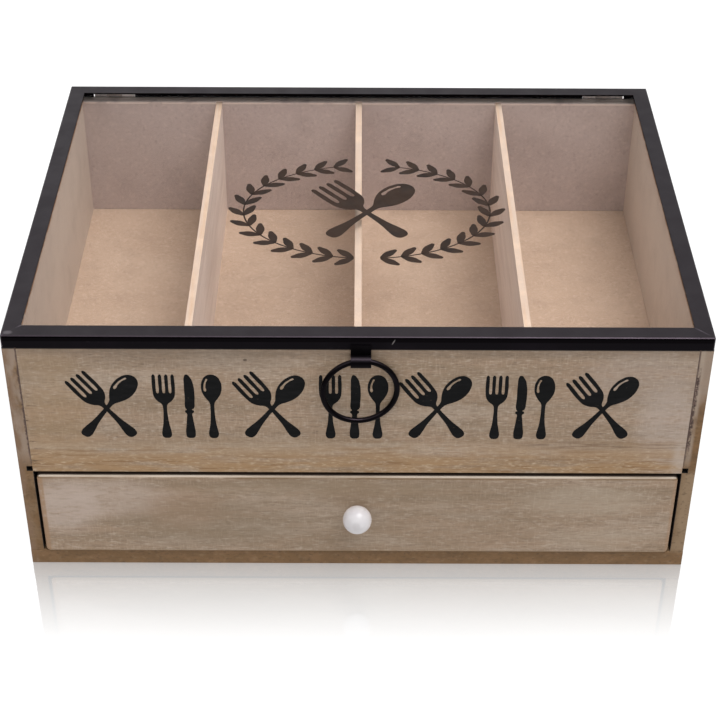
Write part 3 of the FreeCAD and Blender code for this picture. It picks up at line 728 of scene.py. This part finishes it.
finish_node("drawer_front", whitewashed_wood(
    "whitewashed paulownia, drawer front", (9, 4, 1), [
        (-152, 42, 26, 24, "cfbcb0", 0.60),
        (-128, 47, 42, 18, "c9b5a7", 0.60),
        (-90, 40, 26, 20, "ae8a6e", 0.35),
        (-80, 30, 60, 22, "917f69", 0.30),
        (118, 46, 46, 15, "bba995", 0.60),
        (128, 20, 40, 10, "b5a18b", 0.45),
        (-20, 54, 110, 7, "988368", 0.40),
        (0, 34, 150, 44, "8a775f", 0.28),
    ], sanded_edges_and_gap_shade, -119.6, 0.40))

# Drawer box. Six-millimetre raw ply, glued and pinned at the back, round a raw fibreboard
# bottom that slides into grooves.
box_finish = raw_plywood("raw birch plywood, drawer box",
                         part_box("drawer_left_side")[1].z * 1000)
for name in ("drawer_left_side", "drawer_right_side", "drawer_back"):
    finish_node(name, box_finish)

# Knob and its screw. A ball of white glazed porcelain, 15 mm across, drawn up against the
# drawer front by a slotted steel screw from inside. The glaze shines softly, with fine specks,
# and light sinks a little way into the body. A grey blot low on its face is a painted reflection
# of the dark room.
PAINTED_REFLECTION_PLACE = (-0.5, 0.2, 1.6)
PAINTED_REFLECTION_HALF = (2.8, 3, 3.4)
porcelain, tree, shader, coords = new_finish(
    "white glazed porcelain", IOR=1.5, Subsurface_Weight=0.7, Subsurface_Scale=0.006,
    Subsurface_Radius=(1.0, 1.0, 1.0), Specular_IOR_Level=0.4, Sheen_Weight=0.5,
    Sheen_Roughness=0.5)
shader.inputs["Sheen Tint"].default_value = linear("fff2ea")
knob_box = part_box("drawer_knob")
knob_middle = (knob_box[0] + knob_box[1]) * 500
painted_reflection = (knob_middle.x + PAINTED_REFLECTION_PLACE[0],
              knob_box[0].y * 1000 + PAINTED_REFLECTION_PLACE[1],
              knob_middle.z + PAINTED_REFLECTION_PLACE[2])
tree.links.new(coats(tree, "dedbdd", [
    ("d6d3d9", grained(tree, coords, (7, 7, 7), 0.45, 0.70, 0.45)),
    ("b9aea6", grained(tree, coords, (0.9, 0.9, 0.9), 0.70, 0.78, 0.35)),
    ("b4afad", spot(tree, coords, painted_reflection, 0, PAINTED_REFLECTION_HALF, 0.25))]),
    shader.inputs["Base Color"])
uneven_gloss(tree, shader, grained(tree, coords, (5, 5, 5), 0.3, 0.7, 0.08), 0.16)
finish_node("drawer_knob", porcelain)
finish_node("knob_screw", plated_steel("zinc-plated screw steel", "b4b3ae", 0.3, (2, 2, 2)))

# Lid frame. Angle strip of 0.8 mm steel, mitred and welded at the corners, in satin black
# enamel. Its shine is set by the slope of each face, as painted highlight and reflection: a
# bright line along the front bend, a soft sheen on the top and dull upright faces; the bend and
# the top are painted near black, as painted shade.


def black_enamel(name, code, roughness, scuffs, sheen_by_slope, marks=None):
    """Stoved black enamel with a fine orange-peel skin and a little dust and rubbing.

    sheen_by_slope gives the shine from upright faces, 0, to level ones, 1; the shine follows the
    facing of each face, as a painted highlight and reflection. Faces that are bent or level are
    painted near black, darker than the upright ones, as painted shade and reflection of the dim
    room in front. The real peel is about 0.4 mm across; it is drawn at 0.9 mm, so that it shows.
    """
    material, tree, shader, coords = new_finish(name)
    shader.inputs["Specular Tint"].default_value = linear("ffe6fb")
    normal = add_node(tree, "ShaderNodeTexCoord").outputs["Normal"]
    slope = add_node(tree, "ShaderNodeSeparateXYZ", {0: normal}).outputs[2]
    # Painted shade and reflection: bent and level faces are painted near black.
    bent = add_node(tree, "ShaderNodeMapRange", {0: slope, 1: 0.05, 2: 0.3, 3: 0.0, 4: 1.0})
    rubbed = grained(tree, coords, (60, 8, 8), 0.55, 0.75, scuffs)
    tree.links.new(coats(tree, code, [
        ("1f1a20", grained(tree, coords, (30, 30, 30), 0.45, 0.70, 0.4)),
        ("040304", bent.outputs[0]),
        ("3a363b", grained(tree, coords, (2.5, 2.5, 2.5), 0.50, 0.65, rubbed))]
        + (marks(tree, coords) if marks else [])),
        shader.inputs["Base Color"])
    dulled = grained(tree, coords, (12, 12, 12), 0.3, 0.7, 0.10, (4, 4, 1))
    uneven_gloss(tree, shader, dulled, roughness)
    # Painted highlight and reflection: the shine is set by the slope of each face.
    sheen = add_node(tree, "ShaderNodeValToRGB", {0: slope})
    for place, shine in sheen_by_slope:
        sheen.color_ramp.elements.new(place).color = (shine, shine, shine, 1.0)
    sheen.color_ramp.elements.remove(sheen.color_ramp.elements[0])
    sheen.color_ramp.elements.remove(sheen.color_ramp.elements[-1])
    tree.links.new(sheen.outputs[0], shader.inputs["Specular IOR Level"])
    raised(tree, shader, grained(tree, coords, (0.9, 0.9, 0.9), 0.2, 0.8), 0.2, 0.05)
    return material


def frame_marks(tree, coords):
    """Painted shade under the bend, ground welds at the mitres, a painted highlight and a scratch.
    """
    folded = add_node(tree, "ShaderNodeVectorMath", {0: coords}, operation="ABSOLUTE")
    turned = add_node(tree, "ShaderNodeMapping", {
        "Vector": folded.outputs[0], "Rotation": (0, 0, math.radians(45))}).outputs[0]
    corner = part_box("lid_front_rail")[0] * 1000
    mitre = (abs(corner.x) - abs(corner.y)) / math.sqrt(2)
    in_front = band(tree, coords, 1, 0, -10, 0.5)
    beyond_mitre = band(tree, turned, 0, mitre + 0.6, mitre + 0.3, in_front)
    weld = band(tree, turned, 0, mitre - 0.2, mitre, beyond_mitre)
    return [
        # Painted shade on the upright faces just under the bend.
        ("040304", band(tree, coords, 2, 145.8, 146.2)),
        ("6d6670", grained(tree, coords, (5, 5, 5), 0.35, 0.60, weld, (2, 9, 1))),
        # Painted highlight on the top at the front left corner.
        ("6d686c", spot(tree, coords, (corner.x + 3, corner.y + 3, 149), 0, (3, 2, 3), 0.45)),
        ("97908f", spot(tree, coords, (17.2, corner.y, 146.1), 27, (0.4, 4, 2.2), 0.6))]


frame_enamel = black_enamel("satin black enamel on steel", "110f12", 0.36, 0.5, [
    (0.001, 0.04), (0.05, 0.0), (0.60, 0.0), (0.68, 0.65), (0.96, 0.65), (0.999, 0.29)],
    frame_marks)
for name in ("lid_front_rail", "lid_back_rail", "lid_left_rail", "lid_right_rail"):
    finish_node(name, frame_enamel)

# Pane. Two millimetres of clear float glass, held up in the frame by eight enamelled clips.
# Seen from above it is nearly invisible, and only at a low angle does it mirror strongly.
GLASS_TINT = "fefcfb"
STEEPNESS = 8.0
LEAST_SHINE = 0.002
pane_finish, tree, shader, coords = new_finish("clear float glass", Metallic=1.0)
shader.inputs["Base Color"].default_value = linear("ffffff")
uneven_gloss(tree, shader, grained(tree, coords, (50, 50, 50), 0.4, 0.7, 0.05), 0.03)
clear = add_node(tree, "ShaderNodeBsdfTransparent", {0: linear(GLASS_TINT)})
slant = add_node(tree, "ShaderNodeLayerWeight", {"Blend": 0.5})
steep = add_node(tree, "ShaderNodeMath", {0: slant.outputs["Facing"], 1: STEEPNESS},
                 operation="POWER")
shine = add_node(tree, "ShaderNodeMapRange", {0: steep.outputs[0], 1: 0.0, 2: 1.0,
                                              3: LEAST_SHINE, 4: 1.0})
pane = add_node(tree, "ShaderNodeMixShader",
                {0: shine.outputs[0], 1: clear.outputs[0], 2: shader.outputs[0]})
output = add_node(tree, "ShaderNodeOutputMaterial", {"Surface": pane.outputs[0]})
output.is_active_output = True
finish_node("lid_glass", pane_finish)
finish_node("glass_clips", frame_enamel)

# Wreath on the pane. Dark grey ink screen-printed on the glass: two leafy branches that meet
# in an oval, with a crossed fork and spoon inside.
WREATH_CENTRE = (4.5, -11.0)
WREATH_HALF = (66.0, 47.0)
BRANCHES = ((-84, 158), (264, -158))  # where each starts on the oval, and its sweep, in degrees
LEAF_PAIRS = 15
LEAF_LEAN = 38
LEAF = [(0, 0), (2.4, 1.5), (5.6, 2.3), (8.8, 1.7), (11.6, 0)]
STEM_WIDTH = 0.9
STEM_THICKNESS = 0.03
PRINT_THICKNESS = 0.04
BADGE_TURN = 40
BADGE_SCALE = 1.7

glass_ink = printing_ink("dark grey screen ink", "35271f", "5c4a3d", 0.6)
MOTIFS["leaf"] = [LEAF + [(x, -y) for x, y in reversed(LEAF[1:-1])]]
leaf = stencil("leaf", [("leaf", (0, 0), 0, 1.0)], PRINT_THICKNESS)
tree, given, names = new_tree("printed wreath", {
    "Leaf": "Object", "Half width": "Float", "Half height": "Float", "Leaves": "Int",
    "Stem width": "Float", "Ink height": "Float", "Ink": "Material"})
stretch = add_node(tree, "ShaderNodeCombineXYZ", {0: given["Half width"],
                                                  1: given["Half height"], 2: 1.0})
branches = add_node(tree, "GeometryNodeJoinGeometry")
for start, sweep in BRANCHES:
    arc = add_node(tree, "GeometryNodeCurveArc", {
        "Resolution": 48, "Radius": 1.0, "Start Angle": math.radians(start),
        "Sweep Angle": math.radians(sweep)})
    oval = add_node(tree, "GeometryNodeTransform", {"Geometry": arc.outputs[0],
                                                    "Scale": stretch.outputs[0]})
    tree.links.new(oval.outputs[0], branches.inputs[0])
stops = add_node(tree, "GeometryNodeCurveToPoints", {"Curve": branches.outputs[0],
                                                     "Count": given["Leaves"]})
heading = add_node(tree, "FunctionNodeAlignRotationToVector",
                   {"Vector": stops.outputs["Tangent"]}, axis="X")
parts = add_node(tree, "GeometryNodeJoinGeometry")
motif = add_node(tree, "GeometryNodeObjectInfo", {"Object": given["Leaf"]})
for side in (-1, 1):
    lean = add_node(tree, "FunctionNodeAxisAngleToRotation", {
        "Axis": (0, 0, 1), "Angle": math.radians(side * LEAF_LEAN)})
    leaning = add_node(tree, "FunctionNodeRotateRotation", {
        "Rotation": heading.outputs[0], "Rotate By": lean.outputs[0]}, rotation_space="LOCAL")
    laid = add_node(tree, "GeometryNodeInstanceOnPoints", {
        "Points": stops.outputs[0], "Instance": motif.outputs["Geometry"],
        "Rotation": leaning.outputs[0]})
    tree.links.new(laid.outputs[0], parts.inputs[0])
ribbon = add_node(tree, "GeometryNodeCurvePrimitiveQuadrilateral", {
    "Width": given["Stem width"], "Height": given["Ink height"]})
stems = add_node(tree, "GeometryNodeCurveToMesh", {
    "Curve": branches.outputs[0], "Profile Curve": ribbon.outputs[0], "Fill Caps": True})
tree.links.new(stems.outputs[0], parts.inputs[0])
finish_tree(tree, parts.outputs[0], given["Ink"])
wreath_mesh = grown("printed_wreath", tree, names, {
    "Leaf": leaf, "Half width": WREATH_HALF[0] / 1000, "Half height": WREATH_HALF[1] / 1000,
    "Leaves": LEAF_PAIRS, "Stem width": STEM_WIDTH / 1000, "Ink height": STEM_THICKNESS / 1000,
    "Ink": glass_ink})
bpy.data.objects.remove(leaf)
cutlery = stencil("printed cutlery", [
    ("fork", (-2, 0), BADGE_TURN, BADGE_SCALE),
    ("spoon", (2, 0), -BADGE_TURN, BADGE_SCALE)], PRINT_THICKNESS)
badge = bmesh.new()
badge.from_mesh(wreath_mesh)
badge.from_mesh(cutlery.data)
bpy.data.objects.remove(cutlery)
glass_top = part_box("lid_glass")[1].z
badge.transform(Matrix.Translation((WREATH_CENTRE[0] / 1000, WREATH_CENTRE[1] / 1000,
                                    glass_top)))
badge_mesh = bpy.data.meshes.new("printed_wreath")
badge.to_mesh(badge_mesh)
badge.free()
badge_mesh.materials.append(glass_ink)
new_piece("printed_wreath", badge_mesh, "lid")

# Ring pull. A welded wire ring in the curled end of a strap, in the same enamel but glossier,
# because both are dipped and not sprayed.
# Its shine is set by slope too, as painted highlight on the upper faces, and bent and level faces
# are painted near black, as painted shade and reflection.
ring_enamel = black_enamel("glossy black enamel on wire", "080708", 0.28, 0.2, [
    (0.001, 0.04), (0.45, 0.05), (0.75, 0.30), (0.999, 0.28)])
finish_node("ring_strap", ring_enamel)
finish_node("pull_ring", ring_enamel)

# Hinges. Two pressed steel butt hinges with rolled knuckles, bright-plated, screwed to the back
# panel and riveted to the back rail.
hinge_finish = plated_steel("bright-plated hinge steel", "ece8e8", 0.42, (9, 9, 9))
for name in ("left_hinge_box_leaf", "right_hinge_box_leaf", "left_hinge_lid_leaf",
             "right_hinge_lid_leaf", "left_hinge_pin", "right_hinge_pin"):
    finish_node(name, hinge_finish)
finish_node("hinge_screws", plated_steel("bright-plated screw steel", "b2b2ad", 0.3, (2, 2, 2)))
